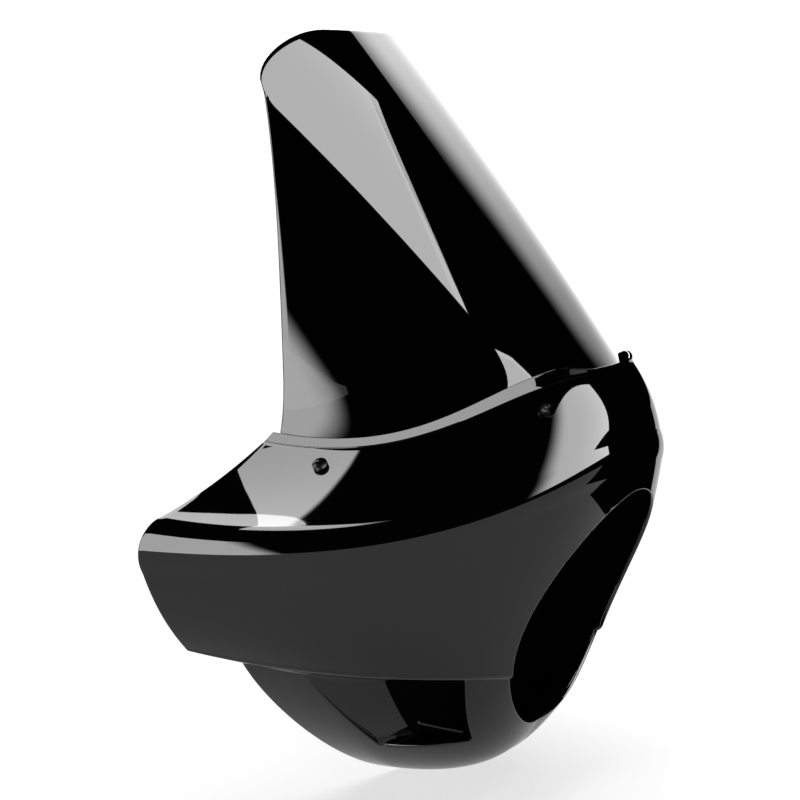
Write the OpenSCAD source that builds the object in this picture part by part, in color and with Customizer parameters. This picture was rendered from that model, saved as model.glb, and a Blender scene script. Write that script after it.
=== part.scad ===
// Headlight cowl for a motorbike: a moulded shell round the lamp, and a tall
// screen that is screwed inside its top edge.
// The origin is the centre of the lamp opening. The nose points to -Y, Z is up.

/* [Lamp opening] */
// Diameter of the round opening for the lamp
opening_d = 200; // [186:1:206]
// Lean of the opening, with its top edge forward
opening_tilt = 23.2; // [20:0.2:26]

/* [Shell] */
// Thickness of the moulded wall
wall = 3; // [2:0.25:4]
// Depth of the wall behind the nose that the opening is cut through
opening_cut = 90; // [70:1:110]
// Front of the top rim, ahead of the opening's centre
rim_front = 22; // [16:1:28]
// Height of the top rim at the nose
rim_top = 186; // [178:1:194]
// Half the width between the rear corners of the top rim
rim_half_w = 140; // [134:1:148]
// Rear corner of the top rim, behind the opening's centre
rim_rear = 203; // [192:1:212]
// Height of the rear corner of the top rim
rim_rear_z = 134; // [126:1:142]
// Outer radius of the rolled top lip
lip_r = 6; // [5:0.5:8]
// Front of the brow above the lamp
brow_front = 46; // [40:1:52]
// Height of the brow
brow_z = 126; // [120:1:132]
// Radius of the brow at the nose
brow_r = 38; // [30:1:44]
// Half the width over the wing tips
wing_half_w = 230; // [220:1:240]
// Wing tips, behind the opening's centre
wing_rear = 270; // [258:1:282]
// Height of the wing tips
wing_z = 67; // [58:1:74]
// Radius of the shoulder at the wing tips
wing_r = 30; // [22:1:36]
// Half the width over the rear ends of the lower crease
crease_half_w = 190; // [182:1:198]
// Rear ends of the lower crease, behind the opening's centre
crease_rear = 243; // [232:1:252]
// Height of the rear ends of the lower crease
crease_z = -19; // [-26:1:-12]
// Radius of the lower crease
crease_r = 4; // [3.5:0.5:6]
// Step under the lower crease at its rear ends
step_w = 28; // [20:1:34]
// Depth of the chin below the opening's centre
chin_depth = 144; // [136:1:152]
// Rear edge of the chin, behind the opening's centre
chin_rear = 150; // [140:1:160]

/* [Side ducts] */
// Depth of the blind recess in each side of the chin, at its front end
duct_depth = 22; // [16:1:26]
// Front end of the recess, as a share of the way along the crease
duct_front = 0.41; // [0.38:0.01:0.44]
// Rear end of the recess, as a share of the way along the crease
duct_rear = 0.83; // [0.78:0.01:0.86]
// Height of the recess, as a share of the chin's side
duct_drop = 0.5; // [0.4:0.01:0.56]

/* [Screen] */
// Thickness of the screen
screen_t = 3; // [2:0.25:4]
// Height of the screen's top edge above the opening's centre
screen_top = 437; // [400:1:460]
// Half the width of the screen at its top corners
screen_half_w = 111; // [106:1:122]
// Radius of the screen's top corners
screen_corner_r = 49; // [40:1:60]
// Lean of the screen, in millimetres back for each 100 mm up
screen_rake = 70.8; // [66:0.2:75]
// Width of the band of screen that lies under the shell
skirt_w = 34; // [30:1:40]

/* [Screen fixings] */
// Screw diameter
screw_d = 6; // [5:0.5:7]
// Diameter of the screw heads
head_d = 11.5; // [10:0.5:13]
// Height of the screw heads
head_h = 3.6; // [3:0.2:4.5]
// Distance of the screws from the edge of the rim
screw_in = 20; // [17:0.5:22]
// Place of the front screws, as a share of the way along the rim
screw_front = 0.33; // [0.28:0.01:0.38]
// Place of the rear screws, as a share of the way along the rim
screw_rear = 0.885; // [0.84:0.005:0.91]
// Thickness of the rubber spacers between shell and screen
spacer_t = 4; // [3.5:0.25:5]
// Outer diameter of the rubber spacers
spacer_d = 14; // [12:0.5:16]
// Outer diameter of the backing washers
washer_d = 16; // [15:0.5:20]
// Thickness of the backing washers
washer_t = 1.6; // [1.2:0.1:2.4]
// Height of the lock nuts
nut_h = 6; // [5:0.5:7]
// Width across the flats of the lock nuts
nut_af = 10; // [8:0.5:11]

/* [Bracket points] */
// Diameter of the moulded bosses for the fork brackets
boss_d = 16; // [14:1:20]
// How far the bosses stand in from the side wall
boss_h = 12; // [10:1:16]
// Thread diameter of the brass inserts
insert_thread = 6; // [5:1:6]
// Outer diameter of the brass inserts
insert_d = 8.6; // [8.2:0.2:9.6]
// Length of the brass inserts
insert_h = 9; // [7:0.5:10]
// Place of the bosses, as a share of the way from the nose to the rear edge
boss_along = 0.62; // [0.56:0.01:0.68]
// Place of the upper bosses, as a share of the way down the side wall
boss_upper = 0.25; // [0.2:0.05:0.35]
// Place of the lower bosses, as a share of the way down the side wall
boss_lower = 0.7; // [0.6:0.05:0.75]

/* [Hidden] */
$fn = 48;

// Small gap that keeps a flat piece clear of the curved wall that it sits on
seat = 0.62;
// Gap round a screw in the pieces that it passes through
clear = 0.4;
// Turn of the rolled lip
lip_turn = 60;
// Rise of the top face between lip and shoulder, at the nose and at the rear
crown = [5, -5];
// Bulge of the side wall at the nose and at the rear, and how much more it has near the lamp
bulge = [2, 5];
bulge_mid = 22;
// How deep in the shell's wall a boss is rooted
boss_root = 2.2;
// How far down the skirt and up the screen the bend between them begins
blend_start = 7;
blend_up = 45;
// How far the screen's sides stop short of the shell's rear edges
screen_end = 0.985;
// The screen's wrap: how far it starts behind the rim's front, how much further back its top leans, how far
// back its sides go at the half width wrap_reach, how fast they get there, and how much wider it is at the top
wrap_start = 9;
wrap_lean = 19;
wrap_depth = 88;
wrap_reach = 100;
wrap_power = 3.27;
wrap_widen = 0.3;

// Each curve runs from the centre plane to the rear, on the right half.
// The first and last points lie on the shell and the middle ones pull it.
rim = [[0, -rim_front, rim_top],
       [-0.735 * rim_half_w, -rim_front, rim_top],
       [-0.655 * rim_half_w, 0.187 * rim_rear, rim_top],
       [-0.87 * rim_half_w, 0.3 * rim_rear, 0.85 * rim_rear_z],
       [-rim_half_w, rim_rear, rim_rear_z]];
shoulder = [[0, -brow_front, brow_z],
            [-0.55 * wing_half_w, -brow_front, brow_z],
            [-0.85 * wing_half_w, 0.104 * wing_rear, 0.806 * wing_z],
            [-wing_half_w, wing_rear, wing_z]];
crease = [[0, 0.008 * crease_rear, crease_z - 0.215 * chin_depth],
          [-0.755 * crease_half_w, -0.02 * crease_rear, crease_z - 0.035 * chin_depth],
          [-0.79 * crease_half_w, 0.494 * crease_rear, crease_z - 0.188 * chin_depth],
          [-crease_half_w, crease_rear, crease_z]];
step = [[0, 0.025 * crease_rear, crease_z - 0.243 * chin_depth],
        [-0.745 * crease_half_w, 0, crease_z - 0.035 * chin_depth],
        [-0.725 * crease_half_w, 0.486 * crease_rear, crease_z - 0.208 * chin_depth],
        [step_w - crease_half_w, 0.872 * crease_rear, crease_z - 0.083 * chin_depth]];
keel = [[0, 0.2 * chin_rear, -0.458 * chin_depth],
        [0, 0.28 * chin_rear, -0.84 * chin_depth],
        [0, 0.613 * chin_rear, -0.986 * chin_depth],
        [0, chin_rear, -0.986 * chin_depth]];
// Direction in which the side recesses are drawn in, on the right half
duct_pull = [0.9, 0.36, 0.25];

// Places of the columns of points, from the nose to the rear edges
along = concat([for (i = [0:8]) duct_front * i / 9],
               [for (i = [0:3]) duct_front + 0.01 * i],
               [for (i = [1:6]) mix(duct_front + 0.03, duct_rear - 0.06, i / 6)],
               [for (i = [1:4]) duct_rear - 0.06 + 0.015 * i],
               [for (i = [1:4]) mix(duct_rear, 1, i / 4)]);
last = len(along) - 1;

function mix(a, b, f) = a + (b - a) * f;
function clamp(v, lo, hi) = min(max(v, lo), hi);
function ease(v) = let (c = clamp(v, 0, 1)) c * c * (3 - 2 * c);
function unit(v) = v / norm(v);
function bez(p, t) = len(p) == 1 ? p[0]
    : bez([for (i = [0:len(p) - 2]) mix(p[i], p[i + 1], t)], t);
function slope(p, t) = bez(p, t + 0.01) - bez(p, t - 0.01);
function half_angle(a, b, c) = acos(clamp(unit(a - b) * unit(c - b), -1, 1)) / 2;
function round_r(a, b, c, r) = min(r, 0.8 * min(norm(a - b), norm(c - b)) * tan(half_angle(a, b, c)));
function setback(a, b, c, r) = round_r(a, b, c, r) / tan(half_angle(a, b, c));
// An arc of n + 1 points that rounds the corner b between a and c
function round_corner(a, b, c, r, n) =
    let (h = half_angle(a, b, c), q = round_r(a, b, c, r), u = unit(a - b), w = unit(c - b),
         centre = b + unit(u + w) * q / sin(h), turn = 180 - 2 * h,
         from = b + u * q / tan(h) - centre, to = b + w * q / tan(h) - centre)
    [for (i = [0:n]) centre + (from * sin((1 - i / n) * turn) + to * sin(i / n * turn)) / sin(turn)];

// Outward directions of the top face and of the side wall
function top_out(s, f) =
    let (n = unit(cross(mix(slope(rim, s), slope(shoulder, s), f), bez(rim, s) - bez(shoulder, s))))
    n[2] < 0 ? -n : n;
function side_out(s) =
    let (n = unit(cross(slope(shoulder, s), bez(crease, s) - bez(shoulder, s))))
    n[1] > 0 ? -n : n;
function down_top(s) = unit(bez(shoulder, s) - bez(rim, s));
// Inner end of the rolled lip, before it is rounded
function lip_end(s) = bez(rim, s)
    - (down_top(s) * cos(lip_turn) + top_out(s, 0) * sin(lip_turn)) * lip_r * 1.2;
function shoulder_r(s) = mix(brow_r, wing_r, s);
function crease_round(s) = mix(3.5 * crease_r, crease_r, clamp(2 * s, 0, 1));
// Where the top face starts and ends, measured down from the rim
function top_start(s) = setback(lip_end(s), bez(rim, s), bez(shoulder, s), lip_r);
function top_end(s) = norm(bez(shoulder, s) - bez(rim, s))
    - setback(bez(rim, s), bez(shoulder, s), bez(crease, s), shoulder_r(s));
function top_share(s, d) = clamp((d - top_start(s)) / (top_end(s) - top_start(s)), 0, 1);
// A point of the top face at the distance d from the rim, sunk by some depth
function top_at(s, d, sunk = 0) =
    let (f = top_share(s, d))
    bez(rim, s) + down_top(s) * d
    + top_out(s, f) * (mix(crown[0], crown[1], s) * 4 * f * (1 - f) - sunk);
function top_normal(s, d) =
    let (f = top_share(s, d), tilt = mix(crown[0], crown[1], s) * 4 * (1 - 2 * f) / (top_end(s) - top_start(s)))
    unit(top_out(s, f) - down_top(s) * tilt);
// A point of the side wall at the share f between shoulder and lower crease
function side_at(s, f) =
    let (a = bez(rim, s), b = bez(shoulder, s), c = bez(crease, s), d = bez(step, s), down = unit(c - b),
         e0 = b + down * setback(a, b, c, shoulder_r(s)), e1 = c - down * setback(b, c, d, crease_round(s)))
    mix(e0, e1, f)
    + side_out(s) * (mix(bulge[0], bulge[1], s) + bulge_mid * s * (1 - s) * (1 - s)) * 4 * f * (1 - f);
// A point of the chin, from the step at t = 0 to the keel at t = 1
function chin_at(s, t) =
    let (a = bez(step, s), k = bez(keel, pow(s, 0.8)), h = k - a,
         smooth = (unit(bez(crease, s) - bez(shoulder, s)) + [0, 0.3, 0]) * abs(h[2]) / 2,
         under = [-0.16 * a[0], 0.12 * h[1], 0.36 * h[2]],
         p1 = a + mix(smooth, under, ease((s - 0.25) / 0.25)),
         p2 = k + [a[0] * mix(0.64, 0.4, s), -0.3 * ease(2 * s) * h[1], 0])
    bez([a, p1, p2, k], t);
// Lower edge of the side recess, and how deep the recess is
function duct_edge(s) = mix(duct_drop, 0.06, clamp((s - duct_rear + 0.06) / 0.06, 0, 1));
function duct_in(s) = duct_depth * ease((s - duct_front) / 0.03)
    * clamp((duct_rear - s) / (0.8 * (duct_rear - duct_front)), 0, 1);
function duct_rows(s) =
    let (e = duct_edge(s), pull = unit(duct_pull) * duct_in(s))
    [chin_at(s, 0), chin_at(s, 0.06 * e) + pull, chin_at(s, 0.35 * e) + pull,
     chin_at(s, 0.64 * e) + pull, chin_at(s, 0.92 * e) + pull, chin_at(s, e)];

// One column of the shell's outer face, from the lip down to the keel
function column(s) =
    let (a = bez(rim, s), b = bez(shoulder, s), c = bez(crease, s), d = bez(step, s), e = duct_edge(s),
         t0 = top_start(s), t1 = top_end(s))
    concat(round_corner(lip_end(s), a, b, lip_r, 3),
           [for (i = [1:3]) top_at(s, mix(t0, t1, i / 4))],
           round_corner(a, b, c, shoulder_r(s), 5),
           [for (i = [1:4]) side_at(s, i / 5)],
           round_corner(b, c, d, crease_round(s), 2),
           duct_rows(s),
           [for (i = [1:5]) chin_at(s, mix(e, 1, i / 5))]);

// The screen's outer face: a curved wrap that widens as it leans back
function wrap_y(x, z) =
    let (up = z - rim_top, f = up / (screen_top - rim_top), w = 1 + wrap_widen * f)
    wrap_start - rim_front + screen_rake / 100 * up + wrap_lean * f * f
    + wrap_depth * w * pow(abs(x) / wrap_reach / w, wrap_power);
function wrap(x, z) = [-x, wrap_y(x, z), z];
function skirt_at(s, d) = top_at(s, d, wall + spacer_t);
// Where the plane of the skirt meets the wrap, found by halving. At the front they run side by side, and
// the wrap is left at the height hi above the rim.
function meet(s, lo = 4, hi = 16, n = 14) =
    let (m = (lo + hi) / 2, p = skirt_at(s, -m))
    n == 0 ? wrap(-p[0], p[2]) : p[1] < wrap_y(p[0], p[2]) ? meet(s, m, hi, n - 1) : meet(s, lo, m, n - 1);
function top_edge(s) =
    let (w = screen_half_w - screen_corner_r, a = s * (w + screen_corner_r * PI / 2),
         turn = max(a - w, 0) / screen_corner_r * 180 / PI)
    [min(a, w) + screen_corner_r * sin(turn), screen_top - screen_corner_r * (1 - cos(turn))];
function screen_column(u) =
    let (s = u * screen_end, foot = meet(s), edge = top_edge(u), tall = edge[1] - foot[2],
         v0 = blend_up / tall,
         up = [for (i = [0:7]) let (v = mix(1, v0, i / 7))
               wrap(mix(-foot[0], edge[0], pow(v, 2.4)), mix(foot[2], edge[1], v))],
         q = skirt_at(s, blend_start))
    concat(up,
           [for (i = [1:5]) bez([up[7], foot, q], i / 5)],
           [for (i = [1:3]) skirt_at(s, mix(blend_start, skirt_w, i / 3))]);

// Both halves of a sheet, column by column, with the left half mirrored
function both(cols) =
    let (n = len(cols) - 1)
    [for (j = [-n:n]) [for (p = cols[abs(j)]) j > 0 ? [-p[0], p[1], p[2]] : p]];
// Outward direction at row r of column j; a keel row lies in the centre plane
function sheet_out(g, j, r, keeled) =
    let (nj = len(g) - 1, nr = len(g[0]) - 1, mid = nj / 2,
         j0 = max(j - 1, 0), j1 = min(j + 1, nj), back = j < mid ? -1 : 1,
         dr = g[j][min(r + 1, nr)] - g[j][max(r - 1, 0)],
         dj = g[j1][r] - g[j0][r],
         k0 = mid + max(abs(j - mid) - 1, 0), k1 = mid + min(abs(j - mid) + 1, mid))
    keeled && r == nr ? unit(cross([-1, 0, 0], g[k1][r] - g[k0][r])) : unit(cross(dr, dj));

// A closed wall of one thickness behind a sheet of points.
// With a keel, the last row of the two halves is one shared line of points.
module wall_sheet(g, t, keeled) {
    nj = len(g) - 1;
    nr = len(g[0]) - 1;
    mid = nj / 2;
    full = keeled ? nr - 1 : nr;
    outer = [for (j = [0:nj]) for (r = [0:full]) g[j][r]];
    inner = [for (j = [0:nj]) for (r = [0:full]) g[j][r] - sheet_out(g, j, r, keeled) * t];
    line = keeled ? [for (j = [mid:nj]) g[j][nr]] : [];
    line_in = keeled ? [for (j = [mid:nj]) g[j][nr] - sheet_out(g, j, nr, true) * t] : [];
    size = len(outer);
    function id(j, r, side) = r <= full ? side * size + j * (full + 1) + r
        : 2 * size + side * len(line) + abs(j - mid);
    function pair(a, b, c, d, flip) = flip ? [[a, b, d], [b, c, d]] : [[a, b, c], [a, c, d]];
    faces = [
        for (j = [0:nj - 1]) for (r = [0:nr - 1])
            each concat(pair(id(j, r, 0), id(j + 1, r, 0), id(j + 1, r + 1, 0), id(j, r + 1, 0), j < mid),
                        pair(id(j, r + 1, 1), id(j + 1, r + 1, 1), id(j + 1, r, 1), id(j, r, 1), j < mid)),
        for (j = [0:nj - 1])
            each pair(id(j + 1, 0, 0), id(j, 0, 0), id(j, 0, 1), id(j + 1, 0, 1), j < mid),
        for (r = [0:nr - 1])
            each concat(pair(id(0, r, 0), id(0, r + 1, 0), id(0, r + 1, 1), id(0, r, 1), false),
                        pair(id(nj, r + 1, 0), id(nj, r, 0), id(nj, r, 1), id(nj, r + 1, 1), false)),
        if (!keeled) for (j = [0:nj - 1])
            each pair(id(j, nr, 0), id(j + 1, nr, 0), id(j + 1, nr, 1), id(j, nr, 1), j < mid)
    ];
    polyhedron(concat(outer, inner, line, line_in), faces);
}

// Turns a shape so that its Z axis points along n, at the point p
module aim(p, n) {
    translate(p) rotate([0, acos(n[2]), atan2(n[1], n[0])]) children();
}
// Puts a fixing of the right half in its place; side 1 is the left half
module at_screw(s, side) {
    mirror([side > 0 ? 1 : 0, 0, 0]) aim(top_at(s, screw_in), top_normal(s, screw_in)) children();
}
module at_boss(f, side) {
    n = side_out(boss_along);
    mirror([side > 0 ? 1 : 0, 0, 0]) aim(side_at(boss_along, f) - n * wall, -n) children();
}
module each_screw() {
    for (side = [-1, 1]) for (s = [screw_front, screw_rear]) at_screw(s, side) children();
}
module each_boss() {
    for (side = [-1, 1]) for (f = [boss_upper, boss_lower]) at_boss(f, side) children();
}

module shell() {
    color("#101113") difference() {
        union() {
            wall_sheet(both([for (s = along) column(s)]), wall, true);
            each_boss() translate([0, 0, boss_root - wall]) cylinder(h = boss_h + wall - boss_root, d = boss_d);
        }
        // the round opening for the lamp
        rotate([90 + opening_tilt, 0, 0]) translate([0, 0, -opening_cut])
            cylinder(h = 2 * opening_cut, d = opening_d, $fn = 96);
        each_screw() translate([0, 0, -2 * wall]) cylinder(h = 4 * wall, d = screw_d + clear);
        each_boss() translate([0, 0, boss_h - insert_h - 2]) cylinder(h = insert_h + 3, d = insert_d);
    }
}

module screen() {
    color("#15161a") difference() {
        wall_sheet(both([for (s = along) screen_column(s)]), screen_t, false);
        each_screw() translate([0, 0, -wall - spacer_t - 2 * screen_t])
            cylinder(h = 4 * screen_t, d = screw_d + 2 * clear);
    }
}

// How far the head lies above the shell's outer face, and how deep the other pieces lie below it
head_face = 1.3 * seat;
screen_face = wall + spacer_t;
washer_face = screen_face + screen_t + 1.8 * seat;
nut_face = washer_face + washer_t + 0.05;
shank_end = nut_face + nut_h + 2;

// Pan-head screw with a cross recess
module screw() {
    color("#1b1c1e") difference() {
        union() {
            translate([0, 0, head_face]) rotate_extrude() intersection() {
                translate([0, head_h - head_d]) circle(r = head_d, $fn = 96);
                translate([0, 0]) square([head_d / 2, head_h]);
            }
            translate([0, 0, -shank_end]) cylinder(h = shank_end + head_face, d = screw_d);
        }
        for (a = [0, 90]) rotate(a)
            translate([-head_d * 0.27, -head_d * 0.06, head_face + head_h * 0.35])
                cube([head_d * 0.54, head_d * 0.12, head_h]);
    }
}
module spacer() {
    color("#202020") translate([0, 0, 1.2 * seat - screen_face]) difference() {
        cylinder(h = spacer_t - 2.6 * seat, d = spacer_d);
        translate([0, 0, -1]) cylinder(h = spacer_t + 2, d = screw_d + clear);
    }
}
module washer() {
    color("#2a2a2c") translate([0, 0, -washer_face - washer_t]) difference() {
        cylinder(h = washer_t, d = washer_d);
        translate([0, 0, -1]) cylinder(h = washer_t + 2, d = screw_d + clear);
    }
}
// Hexagon lock nut with a nylon collar
module nut() {
    collar = nut_h * 0.25;
    color("#b9bcc0") translate([0, 0, -nut_face - nut_h]) difference() {
        union() {
            translate([0, 0, collar]) intersection() {
                cylinder(h = nut_h - collar, d = nut_af / cos(30), $fn = 6);
                cylinder(h = nut_h, d1 = nut_af * 1.06, d2 = nut_af * 1.06 + 2 * nut_h);
            }
            cylinder(h = nut_h, d = nut_af * 0.84);
        }
        translate([0, 0, -1]) cylinder(h = nut_h + 2, d = screw_d + 0.1);
    }
}
// Knurled brass insert with a blind thread
module insert() {
    color("#b8923c") translate([0, 0, boss_h - insert_h]) difference() {
        union() {
            cylinder(h = insert_h, d = insert_d - 0.1);
            for (z = [0.12, 0.56]) translate([0, 0, insert_h * z]) cylinder(h = insert_h * 0.3, d = insert_d - 0.02);
        }
        translate([0, 0, -1]) cylinder(h = insert_h + 2, d = insert_thread);
    }
}

shell();
screen();
at_screw(screw_front, 1) screw();  // screw_front_left
at_screw(screw_front, -1) screw();  // screw_front_right
at_screw(screw_rear, 1) screw();  // screw_rear_left
at_screw(screw_rear, -1) screw();  // screw_rear_right
at_screw(screw_front, 1) spacer();  // spacer_front_left
at_screw(screw_front, -1) spacer();  // spacer_front_right
at_screw(screw_rear, 1) spacer();  // spacer_rear_left
at_screw(screw_rear, -1) spacer();  // spacer_rear_right
at_screw(screw_front, 1) washer();  // washer_front_left
at_screw(screw_front, -1) washer();  // washer_front_right
at_screw(screw_rear, 1) washer();  // washer_rear_left
at_screw(screw_rear, -1) washer();  // washer_rear_right
at_screw(screw_front, 1) nut();  // nut_front_left
at_screw(screw_front, -1) nut();  // nut_front_right
at_screw(screw_rear, 1) nut();  // nut_rear_left
at_screw(screw_rear, -1) nut();  // nut_rear_right
at_boss(boss_upper, 1) insert();  // insert_upper_left
at_boss(boss_upper, -1) insert();  // insert_upper_right
at_boss(boss_lower, 1) insert();  // insert_lower_left
at_boss(boss_lower, -1) insert();  // insert_lower_right
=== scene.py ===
import math
import bmesh
import bpy
from mathutils import Matrix, Vector


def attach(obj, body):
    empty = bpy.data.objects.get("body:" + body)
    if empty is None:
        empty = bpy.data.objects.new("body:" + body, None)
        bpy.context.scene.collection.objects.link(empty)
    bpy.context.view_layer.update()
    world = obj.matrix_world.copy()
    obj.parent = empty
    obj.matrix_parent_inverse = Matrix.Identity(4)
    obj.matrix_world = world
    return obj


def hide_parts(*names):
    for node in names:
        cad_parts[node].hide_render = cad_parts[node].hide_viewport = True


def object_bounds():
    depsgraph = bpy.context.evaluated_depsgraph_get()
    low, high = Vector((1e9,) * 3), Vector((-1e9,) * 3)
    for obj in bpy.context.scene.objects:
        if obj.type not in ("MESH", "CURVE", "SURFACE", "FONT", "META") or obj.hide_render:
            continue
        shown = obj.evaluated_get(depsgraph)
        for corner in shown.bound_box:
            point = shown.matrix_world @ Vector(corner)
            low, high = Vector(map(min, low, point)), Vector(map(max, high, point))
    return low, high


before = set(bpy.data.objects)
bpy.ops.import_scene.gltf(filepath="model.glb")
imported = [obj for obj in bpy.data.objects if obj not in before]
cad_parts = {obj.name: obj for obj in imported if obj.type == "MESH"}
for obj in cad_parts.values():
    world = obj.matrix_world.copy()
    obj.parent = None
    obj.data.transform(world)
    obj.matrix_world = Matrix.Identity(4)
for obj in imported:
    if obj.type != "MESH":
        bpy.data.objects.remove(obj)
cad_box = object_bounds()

# Cowl shell.
# One moulding of gloss black ABS, 3 mm thick: a top face, a rounded shoulder that runs out into two wings,
# side walls, a crease with a step under it, and a chin with the lamp opening and an air recess in each side.
# Brackets on the fork hold it. Sizes are in millimetres, and shares run from the nose to the rear edge.
wall = 3.0
lip_r = 6.0
lip_turn = math.radians(-20)
lip_h = 8.5
lip_front_h = 2.0
lip_from = 0.1          # share at which the lip starts to rise from its height at the nose
lip_run = 0.18
brow_r = 38.0           # round of the shoulder at the nose, and of the wings at the rear edge
wing_r = 30.0
crease_front_r = 14.0
crease_r = 4.0
round_most = 0.8        # the most of a side that a round may take up
crown = (5.0, -5.0)     # rise of the top face at the nose and at the rear edge
bulge = (2.0, 5.0)      # swell of the side walls at the nose and at the rear edge, and what is added between
bulge_mid = 22.0
keel_pace = 0.8         # how soon the chin's lowest line runs under the nose
chin_turn = 0.25        # share at which the chin stops going on from the side wall and turns under
chin_drop = 0.3
chin_under = (-0.16, 0.12, 0.36)
keel_flat = (0.64, 0.4)
keel_back = 0.3
duct_depth = 22.0
duct_front = 0.41       # ends of the air recess
duct_rear = 0.83
duct_front_run = 0.03   # width of its steep front wall, and the share of its length that slopes out again
duct_slope = 0.8
duct_drop = 0.5         # its lower edge, and where that line goes on behind it, down the chin's section
duct_drop_rear = 0.06
duct_rear_run = 0.06
duct_roof = 0.05        # widths of its roof and its floor, and how hollow the floor is
duct_floor = 0.08
duct_hollow = 1.5
recess_shade_rear = 0.635        # rear end of the painted shade on the recess's deep front end
opening_d = 200.0
opening_tilt = math.radians(23.2)
opening_back = 90.0     # how far back the cut for the lamp reaches, and what counts as clear of it
opening_clear = 50.0

# Lines of points on the sheet: across the top face, round the shoulder, down the side, round the crease, and
# under the chin. The recess has its own, closer together at its roof and its floor.
top_rows = 25
brow_rows = 16
side_rows = 33
crease_rows = 6
chin_rows = 22
shell_columns = 150
recess_rows = (0, 0.012, 0.025, 0.04, 0.06, 0.15, 0.25, 0.35, 0.45, 0.55, 0.65, 0.75, 0.85,
               0.91, 0.93, 0.95, 0.97, 0.985, 1)
near = 0.01             # step along a curve to find its direction
same_place = 1e-6       # metres between points that are one
wall_snap = 0.7         # distance from a cut within which a point is moved on to it
rim_gap = 0.4           # least distance between points along a cut
sheet_edge = math.radians(65)
sheet_sharp = math.radians(38)

# The character curves: edge at the screen, shoulder, crease, foot of the step and lowest line of the chin.
rim = [Vector(p) for p in ((0, -22, 186), (-102.9, -22, 186), (-91.7, 38, 186), (-121.8, 61, 114),
                           (-140, 203, 134))]
shoulder = [Vector(p) for p in ((0, -46, 126), (-126.5, -46, 126), (-195.5, 28, 54), (-230, 270, 67))]
crease = [Vector(p) for p in ((0, 2, -50), (-143.5, -5, -24), (-150.1, 120, -46), (-190, 243, -19))]
step = [Vector(p) for p in ((0, 6, -54), (-141.6, 0, -24), (-137.8, 118, -49), (-162, 212, -31))]
keel = [Vector(p) for p in ((0, 30, -66), (0, 42, -121), (0, 92, -142), (0, 150, -142))]
duct_pull = Vector((0.9, 0.36, 0.25)).normalized()  # the way in which the recess is drawn in


def mix(a, b, f):
    """The value at the share f of the way from a to b."""
    return a + (b - a) * f


def clamp(v, low=0.0, high=1.0):
    return min(max(v, low), high)


def ease(v):
    """A share that starts and ends softly."""
    v = clamp(v)
    return v * v * (3 - 2 * v)


def bezier(points, t):
    """The point at the share t of the curve that these points steer."""
    while len(points) > 1:
        points = [a.lerp(b, t) for a, b in zip(points, points[1:])]
    return points[0]


def slope(points, t):
    """The way that curve runs there."""
    return bezier(points, t + near) - bezier(points, t - near)


def setback(a, b, c, r):
    """Radius that fits the corner b, and how far from b its arc starts."""
    half = (a - b).angle(c - b) / 2
    r = min(r, round_most * min((a - b).length, (c - b).length) * math.tan(half))
    return r, r / math.tan(half)


def round_corner(a, b, c, r, n):
    """The arc of n + 1 points that rounds the corner b."""
    half = (a - b).angle(c - b) / 2
    r, back = setback(a, b, c, r)
    u = (a - b).normalized()
    w = (c - b).normalized()
    centre = b + (u + w).normalized() * (r / math.sin(half))
    start = b + u * back - centre
    end = b + w * back - centre
    turn = math.pi - 2 * half
    return [centre + (start * math.sin((1 - i / n) * turn) + end * math.sin(i / n * turn)) / math.sin(turn)
            for i in range(n + 1)]


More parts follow.
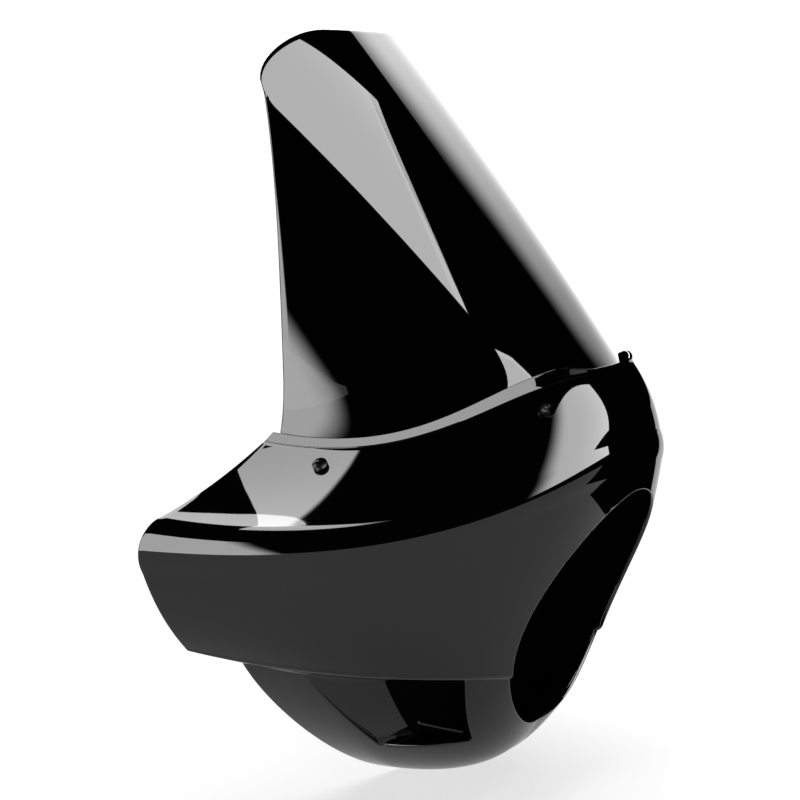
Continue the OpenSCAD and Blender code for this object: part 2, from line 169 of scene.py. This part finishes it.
class Section:
    """The shell's cross-section at the share s of the way from the nose to the rear edge."""

    def __init__(self, s):
        self.s = s
        self.rim = bezier(rim, s)
        self.shoulder = bezier(shoulder, s)
        self.crease = bezier(crease, s)
        self.step = bezier(step, s)
        self.keel = bezier(keel, s ** keel_pace)
        self.top_rise = mix(crown[0], crown[1], s)
        self.down = (self.shoulder - self.rim).normalized()
        self.rim_slope = slope(rim, s)
        self.shoulder_slope = slope(shoulder, s)
        n = self.shoulder_slope.cross(self.crease - self.shoulder).normalized()
        self.side_out = -n if n.y > 0 else n
        self.r = mix(brow_r, wing_r, s)
        self.crease_r = mix(crease_front_r, crease_r, clamp(2 * s))
        lift = self.down * math.cos(lip_turn) + self.top_out(0) * math.sin(lip_turn)
        self.lip_end = self.rim - lift * mix(lip_front_h, lip_h, ease((s - lip_from) / lip_run))
        self.start = setback(self.lip_end, self.rim, self.shoulder, lip_r)[1]
        self.end = (self.shoulder - self.rim).length
        self.end -= setback(self.rim, self.shoulder, self.crease, self.r)[1]

    def top_out(self, f):
        """The way out of the top face at the share f between rim and shoulder."""
        n = self.rim_slope.lerp(self.shoulder_slope, f).cross(self.rim - self.shoulder).normalized()
        return -n if n.z < 0 else n

    def top_at(self, d, sunk=0.0):
        """The point of the top face at the distance d from the rim, sunk below it if need be."""
        f = clamp((d - self.start) / (self.end - self.start))
        return self.rim + self.down * d + self.top_out(f) * (self.top_rise * 4 * f * (1 - f) - sunk)

    def side_at(self, f):
        """The point of the side wall at the share f between the rounds of shoulder and crease."""
        down = (self.crease - self.shoulder).normalized()
        e0 = self.shoulder + down * setback(self.rim, self.shoulder, self.crease, self.r)[1]
        e1 = self.crease - down * setback(self.shoulder, self.crease, self.step, self.crease_r)[1]
        swell = mix(bulge[0], bulge[1], self.s) + bulge_mid * self.s * (1 - self.s) ** 2
        return e0.lerp(e1, f) + self.side_out * (swell * 4 * f * (1 - f))

    def chin_at(self, t):
        """The point of the chin at the share t between the foot of the step and the keel."""
        a = self.step
        k = self.keel
        h = k - a
        smooth = ((self.crease - self.shoulder).normalized() + Vector((0, chin_drop, 0))) * (abs(h.z) / 2)
        under = Vector((chin_under[0] * a.x, chin_under[1] * h.y, chin_under[2] * h.z))
        p1 = a + smooth.lerp(under, ease((self.s - chin_turn) / chin_turn))
        p2 = k + Vector((a.x * mix(*keel_flat, self.s), -keel_back * ease(2 * self.s) * h.y, 0))
        return bezier([a, p1, p2, k], t)

    def recess(self, q):
        """How far the chin is drawn in at the share q between the step and the recess's lower edge."""
        depth = ease((self.s - duct_front) / duct_front_run)
        depth *= clamp((duct_rear - self.s) / (duct_rear - duct_front) / duct_slope)
        side = ease(q / duct_roof) * (1 - clamp((q - 1 + duct_floor) / duct_floor) ** duct_hollow)
        return duct_pull * (duct_depth * depth * side)

    def points(self):
        """One line of points down the shell, from the foot of the lip to the keel."""
        lower = mix(duct_drop, duct_drop_rear, clamp((self.s - duct_rear + duct_rear_run) / duct_rear_run))
        rows = [self.top_at(mix(self.start, self.end, i / top_rows)) for i in range(top_rows)]
        rows += round_corner(self.rim, self.shoulder, self.crease, self.r, brow_rows)
        rows += [self.side_at(i / side_rows) for i in range(1, side_rows)]
        rows += round_corner(self.shoulder, self.crease, self.step, self.crease_r, crease_rows)
        rows += [self.chin_at(lower * q) + self.recess(q) for q in recess_rows]
        rows += [self.chin_at(mix(lower, 1, i / chin_rows)) for i in range(1, chin_rows + 1)]
        return rows


def columns(n):
    """Shares from the nose to the rear edge, up to four times as close at the front end of the air recess and
    twice as close at its rear end."""
    steps = 2000
    front_w = 0.02
    rear_w = 0.05
    fine = [0.0]
    for i in range(steps):
        s = i / steps
        front = math.exp(-((s - duct_front - 0.01) / front_w) ** 2)
        rear = math.exp(-((s - duct_rear + 0.03) / rear_w) ** 2)
        fine.append(fine[-1] + 1 + 3 * front + rear)
    marks = []
    for i in range(n + 1):
        goal = fine[-1] * i / n
        k = next(k for k, total in enumerate(fine) if total >= goal - 1e-9)
        back = (fine[k] - goal) / (fine[k] - fine[k - 1]) if k else 0
        marks.append((k - back) / steps)
    return marks


def trim(bm, keep):
    """Cuts a sheet along the line where keep is 0 and drops the side where it is negative."""
    snap = wall_snap * 0.001
    value = {v: keep(v.co * 1000) for v in bm.verts}
    for e in bm.edges:
        a, b = e.verts
        if value[a] * value[b] < 0:
            f = value[a] / (value[a] - value[b])
            if f * e.calc_length() < snap:
                a.co = a.co.lerp(b.co, f)
                value[a] = 0
            elif (1 - f) * e.calc_length() < snap:
                b.co = a.co.lerp(b.co, f)
                value[b] = 0
    for e in list(bm.edges):
        a, b = e.verts
        if value[a] * value[b] < 0:
            cut = bmesh.utils.edge_split(e, a, value[a] / (value[a] - value[b]))[1]
            value[cut] = 0
    for f in list(bm.faces):
        signs = [value[v] for v in f.verts]
        if min(signs) < 0 < max(signs):
            ends = []
            for i, v in enumerate(f.verts):
                if signs[i] == 0:
                    after = next((s for s in signs[i + 1:] + signs[:i] if s), 0)
                    if signs[i - 1] * after < 0:
                        ends.append(v)
            if len(ends) == 2:
                bmesh.utils.face_split(f, ends[0], ends[1])
    gone = [f for f in bm.faces if min(value.get(v, 0) for v in f.verts) < 0]
    bmesh.ops.delete(bm, geom=gone, context="FACES")
    rims = [v for v in bm.verts if v.is_boundary and value.get(v) == 0]
    bmesh.ops.remove_doubles(bm, verts=rims, dist=rim_gap * 0.001)


def drape(name, sheet, thick, round_over, cuts, skins, painted_shade=((0, 0), (0, 0))):
    """A grid laid over a sheet of points, mirrored and cut, with a wall on its inner side and rounded edges.

    The first skin goes outside and the second inside; the last argument gives the columns and the rows
    outside that wear the second too, as painted shade that mirrors nothing."""
    n = len(sheet) - 1
    m = len(sheet[0]) - 1
    bm = bmesh.new()
    bmesh.ops.create_grid(bm, x_segments=2 * n, y_segments=m, size=1)
    for f in bm.faces:
        at = f.calc_center_median()
        # Faces in these ranges wear the dull skin outside as well: painted shade.
        inside = painted_shade[0][0] < abs(at.x) * n < painted_shade[0][1] and painted_shade[1][0] < (1 - at.y) / 2 * m < painted_shade[1][1]
        f.material_index = 1 if inside else 0
    for v in bm.verts:
        j = round(v.co.x * n)
        p = sheet[abs(j)][round((1 - v.co.y) / 2 * m)]
        v.co = Vector((-p.x if j > 0 else p.x, p.y, p.z)) * 0.001
    bmesh.ops.remove_doubles(bm, verts=bm.verts, dist=same_place)
    bmesh.ops.recalc_face_normals(bm, faces=bm.faces)
    if min(bm.faces, key=lambda f: f.calc_center_median().y).normal.y > 0:
        bmesh.ops.reverse_faces(bm, faces=bm.faces)
    for keep in cuts:
        trim(bm, keep)
    mesh = bpy.data.meshes.new(name)
    bm.to_mesh(mesh)
    bm.free()
    for mat in skins:
        mesh.materials.append(mat)
    obj = bpy.data.objects.new(name, mesh)
    bpy.context.collection.objects.link(obj)
    skin = obj.modifiers.new("wall", "SOLIDIFY")
    skin.thickness = thick * 0.001
    skin.offset = -1
    skin.use_even_offset = False
    skin.material_offset = 1
    edge = obj.modifiers.new("rounded edges", "BEVEL")
    edge.limit_method = "ANGLE"
    edge.angle_limit = sheet_edge
    edge.width = round_over * 0.001
    edge.segments = 3
    edge.use_clamp_overlap = False
    solid = bpy.data.meshes.new_from_object(obj.evaluated_get(bpy.context.evaluated_depsgraph_get()))
    obj.modifiers.clear()
    obj.data = solid
    solid.name = name
    solid.shade_smooth()
    solid.set_sharp_from_angle(angle=sheet_sharp)
    return obj


def linear(code):
    """An sRGB hex colour as linear red, green, blue and alpha."""
    parts = [int(code[i:i + 2], 16) / 255 for i in (1, 3, 5)]
    return [c / 12.92 if c <= 0.04045 else ((c + 0.055) / 1.055) ** 2.4 for c in parts] + [1.0]


def add(tree, kind, settings=(), links=()):
    """Adds one node with its settings and the sockets that feed it."""
    made = tree.nodes.new(kind)
    for name, value in settings:
        if isinstance(name, str) and hasattr(made, name):
            setattr(made, name, value)
        else:
            made.inputs[name].default_value = value
    for name, source in links:
        tree.links.new(source, made.inputs[name])
    return made


def plastic(name, colour, rough, wave, height, mirror=0.5):
    """Moulded plastic: a slow waviness or a grain in its surface, and a shine that differs a little.

    The length and the height of the waves are in metres, as is the size of the spots in the shine."""
    smear_size = 0.04
    mat = bpy.data.materials.new(name)
    mat.use_nodes = True
    tree = mat.node_tree
    tree.nodes.clear()
    place = add(tree, "ShaderNodeTexCoord").outputs["Object"]
    waves = add(tree, "ShaderNodeTexNoise", [("Scale", 1 / wave), ("Detail", 1.0)], [("Vector", place)])
    smear = add(tree, "ShaderNodeTexNoise", [("Scale", 1 / smear_size), ("Detail", 6.0)], [("Vector", place)])
    soft = add(tree, "ShaderNodeMapRange", [("To Min", rough * 0.7), ("To Max", rough * 1.4)],
               [("Value", smear.outputs["Fac"])])
    bump = add(tree, "ShaderNodeBump", [("Strength", 1.0), ("Distance", height)],
               [("Height", waves.outputs["Fac"])])
    body = add(tree, "ShaderNodeBsdfPrincipled",
               [("Base Color", linear(colour)), ("IOR", 1.5), ("Specular IOR Level", mirror)],
               [("Roughness", soft.outputs["Result"]), ("Normal", bump.outputs["Normal"])])
    add(tree, "ShaderNodeOutputMaterial", (), [("Surface", body.outputs["BSDF"])])
    return mat


opening_axis = Vector((0, -math.cos(opening_tilt), -math.sin(opening_tilt)))


def outside_lamp(p):
    """Distance from the edge of the lamp opening, below 0 inside it."""
    along = p.dot(opening_axis)
    return (p - opening_axis * along).length - opening_d / 2 if along > -opening_back else opening_clear


# The outside is polished: deep black, mirror-like, with the faint slow waves of a large moulding. The inside
# is left as the mould made it, a fine dull grain that gives back almost no light. The same dull skin is laid
# on the deep front end of each recess outside, as painted shade.
black_abs = plastic("gloss black ABS", "#060608", rough=0.02, wave=0.03, height=0.00003)
inner_abs_and_recess_shade = plastic("fine-grained black ABS and painted recess shade", "#070708", rough=0.6, wave=0.001, height=0.00002, mirror=0)

# Painted shade: the deep front end of each recess, between its roof and its floor, wears the dull inside
# finish on its outside, so that it mirrors nothing and shows black as a shaded hollow would.
shares = columns(shell_columns)
shell_sheet = [Section(s).points() for s in shares]
shade_columns = [sum(s < edge for s in shares) for edge in (duct_front + 0.02, recess_shade_rear)]
chin_row = top_rows + brow_rows + side_rows + crease_rows + 1
shade_rows = (chin_row + recess_rows.index(0.06), chin_row + recess_rows.index(0.93))
shell_round = 0.8
shell = drape("cowl_shell", shell_sheet, wall, shell_round, [outside_lamp], [black_abs, inner_abs_and_recess_shade],
              (shade_columns, shade_rows))
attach(shell, "root")
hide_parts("shell")

# Upturned lip.
# The moulding's top edge, drawn up along the screen for 8 mm in the same gloss black ABS, with a tight round
# at its foot and softened edges. It is one with the shell, and runs on under the top face's first points.
lip_rows = 6
lip_overlap = 0.3


def lip_column(s):
    """One line of points from the edge of the lip to just past its foot."""
    section = Section(s)
    arc = round_corner(section.lip_end, section.rim, section.shoulder, lip_r, lip_rows)
    rows = [section.lip_end.lerp(arc[0], i / lip_rows) for i in range(lip_rows)] + arc
    return rows + [section.top_at(section.start + i * lip_overlap) for i in (1, 2)]


lip_sheet = [lip_column(i / shell_columns) for i in range(shell_columns + 1)]
lip = drape("cowl_lip", lip_sheet, wall, shell_round, [], [black_abs, inner_abs_and_recess_shade])
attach(lip, "root")

# Wrapped screen.
# One sheet of black opaque acrylic, 3 mm thick, heat-bent round a former: it leans back, wraps to the sides
# and flares at its base into a skirt that lies under the shell's top face on four rubber spacers.
screen_t = 3.0
screen_round = 1.1
screen_top = 437.0
screen_half_w = 111.0
screen_corner_r = 49.0
screen_rake = 0.708
screen_waist = 2.4      # how low down the screen starts to widen towards its foot
skirt_w = 34.0
spacer_t = 4.0
screen_end = 0.985      # share of the shell's length at which the skirt ends
foot_least = 4.0        # how far inside the rim the bend to the skirt lies, at least and at most
foot_most = 16.0
blend_start = 7.0       # ends of that bend, under the top face and up the screen
blend_up = 45.0
wrap_start = 9.0        # the former's shape: place, lean, depth at its reach to the side, how fast it turns
wrap_lean = 19.0
wrap_depth = 88.0
wrap_reach = 100.0
wrap_power = 3.27
wrap_widen = 0.3
screen_columns = 80
screen_rows = 70
bend_rows = 16
skirt_rows = 9


def wrap_y(x, z):
    """How far back the former's face lies at the width x and the height z."""
    up = z - rim[0].z
    f = up / (screen_top - rim[0].z)
    w = 1 + wrap_widen * f
    return (wrap_start + rim[0].y + screen_rake * up + wrap_lean * f * f
            + wrap_depth * w * (abs(x) / wrap_reach / w) ** wrap_power)


def wrap(x, z):
    return Vector((-x, wrap_y(x, z), z))


def screen_column(u):
    """One line of points down the screen, from its top edge to the end of its skirt."""
    section = Section(u * screen_end)
    low = foot_least
    high = foot_most
    for _ in range(20):
        d = (low + high) / 2
        foot = section.top_at(-d, wall + spacer_t)
        if foot.y < wrap_y(foot.x, foot.z):
            low = d
        else:
            high = d
    foot = wrap(-foot.x, foot.z)
    past = max(u * screen_half_w - (screen_half_w - screen_corner_r), 0)
    top = screen_top - screen_corner_r + math.sqrt(screen_corner_r ** 2 - past ** 2)
    rows = []
    for i in range(screen_rows + 1):
        z = mix(top, foot.z + blend_up, i / screen_rows)
        narrow = clamp((z - foot.z) / (screen_top - screen_corner_r - foot.z)) ** screen_waist
        rows.append(wrap(mix(-foot.x, u * screen_half_w, narrow), z))
    under = wall + spacer_t
    bend = [rows[-1], foot, section.top_at(blend_start, under)]
    rows += [bezier(bend, i / bend_rows) for i in range(1, bend_rows + 1)]
    skirt = [mix(blend_start, skirt_w, i / skirt_rows) for i in range(1, skirt_rows + 1)]
    return rows + [section.top_at(d, under) for d in skirt]


# Cast sheet is flatter and shinier than the moulding, the same on both faces.
black_acrylic = plastic("gloss black acrylic", "#040406", rough=0.015, wave=0.06, height=0.00003)

screen_sheet = [screen_column(i / screen_columns) for i in range(screen_columns + 1)]
screen = drape("screen_sheet", screen_sheet, screen_t, screen_round, [], [black_acrylic, black_acrylic])
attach(screen, "root")
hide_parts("screen")

# Bracket bosses.
# Four round posts moulded inside the side walls, in the grain of the inside, each with a blind hole for a
# brass insert. The brackets that go to the fork are screwed to them.
boss_d = 16.0
boss_h = 12.0
boss_along = 0.62       # place along the shell, and down the side wall
boss_places = (("upper", 0.25), ("lower", 0.7))
boss_round = 0.8        # rounded edge at its end, and how far its middle lies inside the corner
boss_shave = 0.25
boss_draft = 0.1
boss_foot = 1.6         # fillet at the wall, how deep it starts in it, and how far the boss goes in
boss_foot_sunk = 0.2
boss_sunk = 0.8
boss_rows = 8
boss_turns = 48
insert_d = 8.6
insert_h = 9.0
insert_room = 2.0       # depth of the hole past the insert
hole_bevel = 0.3
turned_sharp = math.radians(40)


def spun(name, profile, turns, mat):
    """A profile of radius and height in millimetres, spun round z."""
    bm = bmesh.new()
    line = [bm.verts.new((r * 0.001, 0, z * 0.001)) for r, z in profile]
    edges = [bm.edges.new(pair) for pair in zip(line, line[1:])]
    bmesh.ops.spin(bm, geom=line + edges, cent=(0, 0, 0), axis=(0, 0, 1), angle=2 * math.pi, steps=turns,
                   use_merge=True)
    bmesh.ops.remove_doubles(bm, verts=bm.verts, dist=same_place)
    bmesh.ops.recalc_face_normals(bm, faces=bm.faces)
    mesh = bpy.data.meshes.new(name)
    bm.to_mesh(mesh)
    bm.free()
    mesh.materials.append(mat)
    mesh.shade_smooth()
    mesh.set_sharp_from_angle(angle=turned_sharp)
    obj = bpy.data.objects.new(name, mesh)
    bpy.context.collection.objects.link(obj)
    return obj


boss_r = boss_d / 2
hole_r = insert_d / 2
hole_floor = boss_h - insert_h - insert_room
boss_line = [(0, hole_floor), (hole_r, hole_floor), (hole_r, boss_h - hole_bevel),
             (hole_r + hole_bevel, boss_h), (boss_r - boss_round, boss_h),
             (boss_r - boss_shave, boss_h - boss_shave), (boss_r, boss_h - boss_round),
             (boss_r + boss_draft, boss_foot)]
for i in range(1, boss_rows + 1):
    turn = math.pi / 2 * i / boss_rows
    out = boss_foot * (1 - math.cos(turn))
    boss_line.append((boss_r + boss_draft + out, boss_foot * (1 - math.sin(turn)) - boss_foot_sunk))
boss_line += [(boss_r + boss_draft + boss_foot, -boss_sunk), (0, -boss_sunk)]
at_bosses = Section(boss_along)
for level, down in boss_places:
    for side, sign in (("right", 1), ("left", -1)):
        boss = spun("boss_" + level + "_" + side, boss_line, boss_turns, inner_abs_and_recess_shade)
        inward = -at_bosses.side_out
        foot = at_bosses.side_at(down) + inward * wall
        inward = Vector((inward.x * sign, inward.y, inward.z))
        foot = Vector((foot.x * sign, foot.y, foot.z)) * 0.001
        boss.data.transform(Matrix.Translation(foot) @ inward.to_track_quat("Z", "Y").to_matrix().to_4x4())
        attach(boss, "root")

# Recess ledges.
# A low rounded rib of the moulding on the floor of each chin recess, where its two slopes meet. It is gloss
# black ABS like the outside and one with the shell.
ledge_r = 1.8
ledge_rows = 8
ledge_turns = 24
ledge_ends = ((0.606, 0.762), (0.457, 0.97))  # shares along the shell and down the recess
ends = []
for s, q in ledge_ends:
    section = Section(s)
    ends.append(section.chin_at(duct_drop * q) + section.recess(q))
ledge_length = (ends[1] - ends[0]).length
turns = [math.pi / 2 * i / ledge_rows for i in range(ledge_rows + 1)]
ledge_line = [(ledge_r * math.sin(turn), ledge_r * (1 - math.cos(turn))) for turn in turns]
ledge_line += [(r, ledge_length - z) for r, z in reversed(ledge_line)]
for side, sign in (("right", 1), ("left", -1)):
    a, b = [Vector((p.x * sign, p.y, p.z)) * 0.001 for p in ends]
    ledge = spun("recess_ledge_" + side, ledge_line, ledge_turns, black_abs)
    ledge.data.transform(Matrix.Translation(a) @ (b - a).to_track_quat("Z", "Y").to_matrix().to_4x4())
    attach(ledge, "root")

# Fasteners.
# Black-oxided steel pan-head screws, black nylon washers, zinc-plated nuts and black rubber spacers hold the
# screen under the shell; knurled brass inserts sit in the bosses. Their shapes are the frame's own.


def worn(name, colour, other, metal, rough, scale, mirror=0.5, height=0.00001):
    """Two shades that differ from spot to spot, with a fine unevenness in the shine and the surface.

    scale is the size of a spot and height that of the grain, in metres."""
    mat = bpy.data.materials.new(name)
    mat.use_nodes = True
    tree = mat.node_tree
    tree.nodes.clear()
    place = add(tree, "ShaderNodeTexCoord").outputs["Object"]
    spots = add(tree, "ShaderNodeTexNoise", [("Scale", 1 / scale), ("Detail", 5.0)], [("Vector", place)])
    shade = add(tree, "ShaderNodeMix", [("data_type", "RGBA"), (6, linear(colour)), (7, linear(other))],
                [(0, spots.outputs["Fac"])])
    grain = add(tree, "ShaderNodeTexNoise", [("Scale", 6 / scale), ("Detail", 3.0)], [("Vector", place)])
    soft = add(tree, "ShaderNodeMapRange", [("To Min", rough * 0.75), ("To Max", rough * 1.3)],
               [("Value", grain.outputs["Fac"])])
    bump = add(tree, "ShaderNodeBump", [("Strength", 1.0), ("Distance", height)],
               [("Height", grain.outputs["Fac"])])
    body = add(tree, "ShaderNodeBsdfPrincipled", [("Metallic", metal), ("Specular IOR Level", mirror)],
               [("Base Color", shade.outputs[2]), ("Roughness", soft.outputs["Result"]),
                ("Normal", bump.outputs["Normal"])])
    add(tree, "ShaderNodeOutputMaterial", (), [("Surface", body.outputs["BSDF"])])
    return mat


# Black oxide keeps the metal's sheen in a near-black; rubber and nylon are dull; zinc is a cool bright grey
# with darker spots; brass a warm yellow that has dulled a little.
fastener_finish = {
    "screw": worn("black-oxided steel", "#08080a", "#141416", metal=0.6, rough=0.25, scale=0.002),
    "spacer": worn("black EPDM rubber", "#0c0c0c", "#151515", metal=0.0, rough=0.75, scale=0.001, mirror=0.3,
                   height=0.00002),
    "washer": worn("black nylon", "#0b0b0c", "#121214", metal=0.0, rough=0.45, scale=0.001),
    "nut": worn("zinc-plated steel", "#a9adb0", "#8a8e92", metal=1.0, rough=0.3, scale=0.0015),
    "insert": worn("brass", "#b48d3f", "#94712d", metal=1.0, rough=0.28, scale=0.0015),
}
screws = []
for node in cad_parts:
    kind = node.split("_")[0]
    if kind in fastener_finish:
        fastener = bpy.data.objects[node]
        fastener.data.materials.clear()
        fastener.data.materials.append(fastener_finish[kind])
        if kind == "screw":
            screws.append(fastener)

# Camera.
# A long lens in front of the cowl and to its right, a little above it and looking slightly down, where the
# photograph was taken from. Place, tilt and turn come from the ellipse of the lamp opening.
camera_tilt = math.radians(-7.3)
camera_turn = math.radians(-63.9)
camera = bpy.data.objects.new("camera", bpy.data.cameras.new("camera"))
bpy.context.collection.objects.link(camera)
camera.data.lens = 106.1
camera.location = (-1.6487, -0.6473, 0.3853)
camera.rotation_euler = (math.pi / 2 + camera_tilt, 0, camera_turn)
bpy.context.scene.camera = camera

# Studio.
# A plain white paper floor that runs on to a white background, under one soft overhead light. White cards
# stand round it out of view, because gloss black shows only what it mirrors. All sizes here are in metres.
floor_half_w = 12.0
floor_gap = 0.0005
paper_seen = 0.72       # how bright the paper is to the eye, and how bright in what the cowl mirrors
paper_mirrored = 0.42
floor_mesh = bpy.data.meshes.new("floor")
bm = bmesh.new()
bmesh.ops.create_grid(bm, x_segments=1, y_segments=1, size=floor_half_w)
bmesh.ops.translate(bm, verts=bm.verts, vec=(0, 0, cad_box[0][2] - floor_gap))
bm.to_mesh(floor_mesh)
bm.free()
floor = bpy.data.objects.new("floor", floor_mesh)
bpy.context.collection.objects.link(floor)
paper = bpy.data.materials.new("white paper")
paper.use_nodes = True
tree = paper.node_tree
sheet = tree.nodes["Principled BSDF"]
sheet.inputs["Base Color"].default_value = linear("#f4f4f4")
sheet.inputs["Roughness"].default_value = 0.9
sheet.inputs["Specular IOR Level"].default_value = 0.0
sheet.inputs["Emission Color"].default_value = linear("#ffffff")
seen = add(tree, "ShaderNodeLightPath")
lift = add(tree, "ShaderNodeMapRange", [("To Min", paper_mirrored), ("To Max", paper_seen)],
           [("Value", seen.outputs["Is Camera Ray"])])
tree.links.new(lift.outputs["Result"], sheet.inputs["Emission Strength"])
floor_mesh.materials.append(paper)

# The background is white to the eye and dark in mirrors, so that only the cards show on the gloss.
world = bpy.data.worlds.new("studio")
world.use_nodes = True
bpy.context.scene.world = world
tree = world.node_tree
tree.nodes.clear()
white = add(tree, "ShaderNodeBackground", [("Color", (1, 1, 1, 1)), ("Strength", 1.1)])
dark = add(tree, "ShaderNodeBackground", [("Color", (0, 0, 0, 1))])
seen = add(tree, "ShaderNodeLightPath")
both = add(tree, "ShaderNodeMixShader", (),
           [(0, seen.outputs["Is Camera Ray"]), (1, dark.outputs[0]), (2, white.outputs[0])])
add(tree, "ShaderNodeOutputWorld", (), [("Surface", both.outputs[0])])

overhead = bpy.data.objects.new("overhead light", bpy.data.lights.new("overhead light", "SUN"))
bpy.context.collection.objects.link(overhead)
overhead.data.energy = 1.3
overhead.data.angle = math.radians(80)
overhead.rotation_euler = (math.radians(-8), math.radians(12), 0)
overhead.visible_glossy = False

middle = Vector((-0.08, 0.1, 0.2))
hardest = 0.001         # least share of a card's width over which its light rises


def toward(azimuth, elevation, distance=1.8):
    """A point of the studio, seen from the middle of the cowl; azimuth 0 is in front of it."""
    a = math.radians(azimuth)
    e = math.radians(elevation)
    return middle + Vector((math.sin(a) * math.cos(e), -math.cos(a) * math.cos(e), math.sin(e))) * distance


def card(name, corners, strength, fade=0.0, only=None):
    """A lit card between four corners; fade is the share of its width that dims toward its first edge.

    It lights only the pieces in only, where they are given, and never hides another card. Without strength it
    is a black flag, which hides what is behind it."""
    mesh = bpy.data.meshes.new(name)
    bm = bmesh.new()
    bmesh.ops.create_grid(bm, x_segments=1, y_segments=1, size=1, calc_uvs=True)
    uv = bm.loops.layers.uv.verify()
    for v in bm.verts:
        across = (v.co.x + 1) / 2
        up = (v.co.y + 1) / 2
        for loop in v.link_loops:
            loop[uv].uv = (across, up)
        v.co = mix(mix(corners[0], corners[1], up), mix(corners[3], corners[2], up), across)
    bm.to_mesh(mesh)
    bm.free()
    obj = bpy.data.objects.new(name, mesh)
    bpy.context.collection.objects.link(obj)
    mat = bpy.data.materials.new(name)
    mat.use_nodes = True
    tree = mat.node_tree
    tree.nodes.clear()
    place = add(tree, "ShaderNodeTexCoord").outputs["UV"]
    across = add(tree, "ShaderNodeSeparateXYZ", (), [("Vector", place)]).outputs["X"]
    rise = add(tree, "ShaderNodeMapRange",
               [("interpolation_type", "SMOOTHSTEP"), ("From Max", max(fade, hardest)),
                ("To Max", strength)], [("Value", across)])
    glow = add(tree, "ShaderNodeEmission", (), [("Strength", rise.outputs["Result"])])
    clear = add(tree, "ShaderNodeBsdfTransparent")
    both = add(tree, "ShaderNodeAddShader", (), [(0, glow.outputs["Emission"]), (1, clear.outputs["BSDF"])])
    shade = both.outputs["Shader"] if strength else glow.outputs["Emission"]
    add(tree, "ShaderNodeOutputMaterial", (), [("Surface", shade)])
    mesh.materials.append(mat)
    obj.visible_camera = False
    obj.visible_diffuse = False
    obj.visible_shadow = False
    if only:
        lit = bpy.data.collections.new(name)
        for piece in only:
            lit.objects.link(piece)
        obj.light_linking.receiver_collection = lit


# The key card gives the long bright face on the screen, with a slightly brighter strip along its edge.
key_low = toward(-53.5, 29)
key_right = toward(34, 56)
key_far = Vector((-0.417, -0.469, 1.503))
key_left = toward(-77, 35)
key_reach = 1.35
strip_w = (0.12, 0.06)
key_corners = [key_low, key_right, mix(key_right, key_far, key_reach), mix(key_low, key_left, key_reach)]
strip_corners = [key_low, key_right, mix(key_right, key_far, strip_w[0]), mix(key_low, key_left, strip_w[1])]
card("key card", key_corners, 11, 0, [screen] + screws)
card("key card edge", strip_corners, 1.6, 0, [screen])

# Cards beside, behind and in front of the cowl draw its edges: the side of the screen, the wings, the
# upturned lip, the left side and the round of the nose.
wing_card_z = 0.3
lip_card_far = 2.3
card("left card", [toward(-93, -7), toward(-103, 26), toward(-125, 26), toward(-125, -7)], 8.5, 0.2)
wing_corners = ((-0.245, 0.118), (-0.130, 0.262), (-0.130, 0.275), (-0.245, 0.264))
card("wing card", [Vector((x, y, wing_card_z)) for x, y in wing_corners], 8, 0.4, [shell])
card("lip card", [toward(-40, 8, lip_card_far), toward(-40, 56, lip_card_far),
                  toward(-140, 58, lip_card_far), toward(-140, 8, lip_card_far)], 8, 0, [lip])
card("back card", [toward(175, 61), toward(110, 61), toward(110, 5), toward(165, 5)], 8)
card("front card", [toward(-26, 4), toward(-26, 41), toward(34, 33), toward(34, 6)], 10, 0.35, [shell])
card("right card", [toward(62, -12), toward(62, 38), toward(118, 40), toward(118, -12)], 4, 0.7, [screen])
card("rear left card", [toward(-170, 2), toward(-170, 38), toward(-140, 38), toward(-140, 2)], 6)

# A black flag leans back on the floor at the right front, so that the nose doesn't mirror the paper there.
flag_low = -0.14
flag_high = 0.25
card("right flag", [Vector((0.25, -0.65, flag_low)), Vector((0.65, -1.13, flag_high)),
                    Vector((1.30, -0.09, flag_high)), Vector((0.60, -0.07, flag_low))], 0)
bpy.context.scene.view_settings.view_transform = "Standard"
